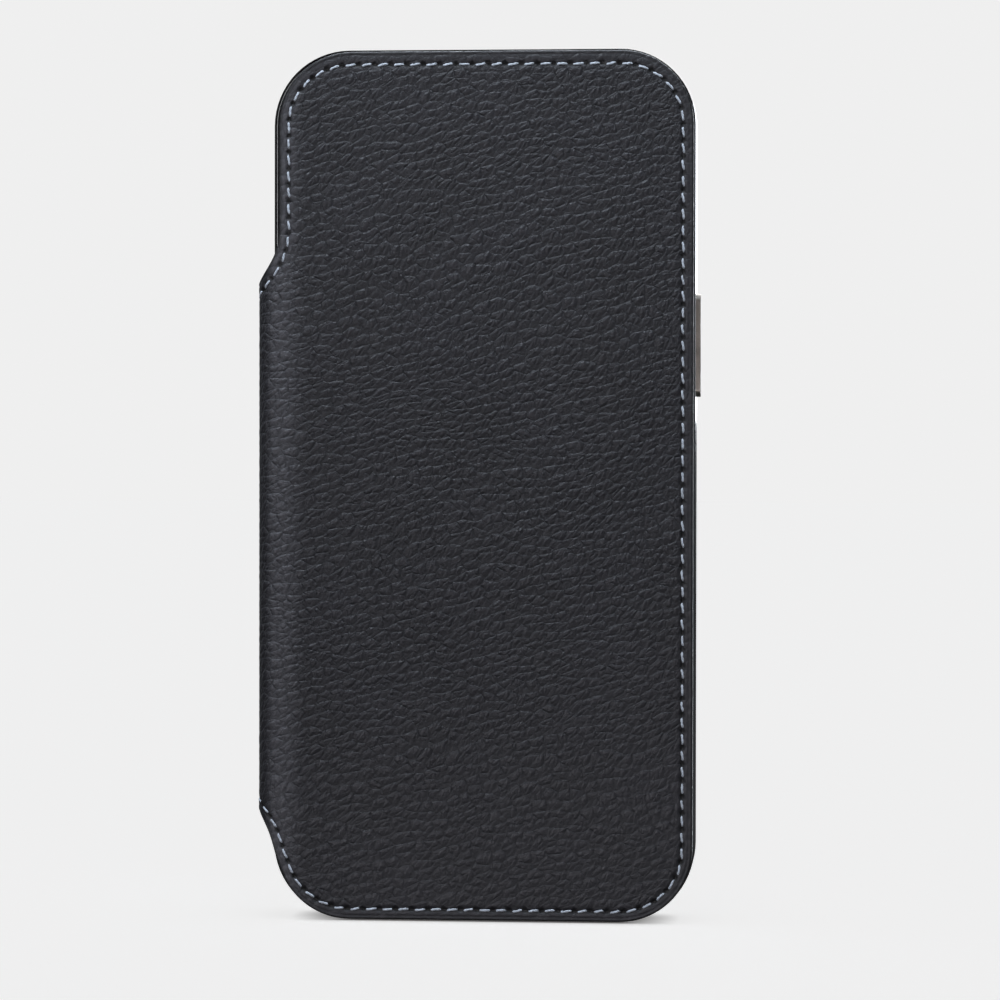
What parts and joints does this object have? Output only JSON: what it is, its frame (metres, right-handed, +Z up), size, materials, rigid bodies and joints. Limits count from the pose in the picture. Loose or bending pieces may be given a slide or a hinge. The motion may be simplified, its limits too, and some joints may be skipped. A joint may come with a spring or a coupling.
{
  "type": "phone wallet case",
  "caption": "Folio phone case: a moulded tray with side buttons and a leather cover with card pockets that folds on a leather spine.",
  "frame": {"origin": "under the middle of the closed case's box, on the surface that it stands on", "axes": "+X to the right seen from the cover's side, with the spine at -X; the cover faces -Y and the camera frame +Y; +Z up"},
  "size_m": [0.0846, 0.018, 0.166],
  "materials": {
    "leather_black": "pebbled full-grain leather, matte",
    "pocket_leather": "smooth thin leather, matte",
    "thread_grey": "twisted polyester thread",
    "microfibre_grey": "brushed microfibre",
    "polycarbonate_black": "polished moulded polycarbonate",
    "frame_anodised": "dark anodised, satin",
    "magnet_nickel": "nickel plate",
    "board_grey": "pressed fibre board",
    "button_tan": "tan anodised, fine blasted",
    "button_silver": "silver anodised, fine blasted",
    "silicone_black": "matte silicone"
  },
  "bodies": {
    "shell": {"back_shell": "polycarbonate_black", "shell_lining": "microfibre_grey", "back_leather": "leather_black", "back_stitching": "thread_grey", "camera_frame": "frame_anodised", "magnet_ring": "magnet_nickel", "alignment_magnet": "magnet_nickel", "shell_magnets": "magnet_nickel"},
    "spine": {"spine_leather": "leather_black", "spine_lining": "microfibre_grey", "spine_stitching": "thread_grey"},
    "flap": {"flap_leather": "leather_black", "flap_stitching": "thread_grey", "flap_board": "board_grey", "flap_magnets": "magnet_nickel", "flap_lining": "microfibre_grey", "card_pocket_upper": "pocket_leather", "card_pocket_middle": "pocket_leather", "card_pocket_lower": "pocket_leather"},
    "power_button": {"power_button": "button_tan", "power_pad": "silicone_black"},
    "camera_key": {"camera_key": "button_tan", "camera_key_pad": "silicone_black"},
    "action_button": {"action_button": "button_silver", "action_pad": "silicone_black"},
    "volume_up": {"volume_up_button": "button_silver", "volume_up_pad": "silicone_black"},
    "volume_down": {"volume_down_button": "button_silver", "volume_down_pad": "silicone_black"}
  },
  "joints": [
    {"name": "spine_fold", "type": "hinge", "parent": "shell", "child": "spine", "pos_m": [-0.0415, 0.0052, 0.07165], "axis": [0, 0, -1], "range_deg": [0, 178]},
    {"name": "cover_fold", "type": "hinge", "parent": "spine", "child": "flap", "pos_m": [-0.0415, -0.0082, 0.07165], "axis": [0, 0, -1], "range_deg": [0, 178]},
    {"name": "power_press", "type": "slide", "parent": "shell", "child": "power_button", "axis": [-1, 0, 0], "range_m": [0, 0.0003], "stiffness_N_per_m": 400},
    {"name": "camera_press", "type": "slide", "parent": "shell", "child": "camera_key", "axis": [-1, 0, 0], "range_m": [0, 0.0002], "stiffness_N_per_m": 400},
    {"name": "action_press", "type": "slide", "parent": "shell", "child": "action_button", "axis": [1, 0, 0], "range_m": [0, 0.0003], "stiffness_N_per_m": 400},
    {"name": "volume_up_press", "type": "slide", "parent": "shell", "child": "volume_up", "axis": [1, 0, 0], "range_m": [0, 0.0003], "stiffness_N_per_m": 400},
    {"name": "volume_down_press", "type": "slide", "parent": "shell", "child": "volume_down", "axis": [1, 0, 0], "range_m": [0, 0.0003], "stiffness_N_per_m": 400}
  ]
}
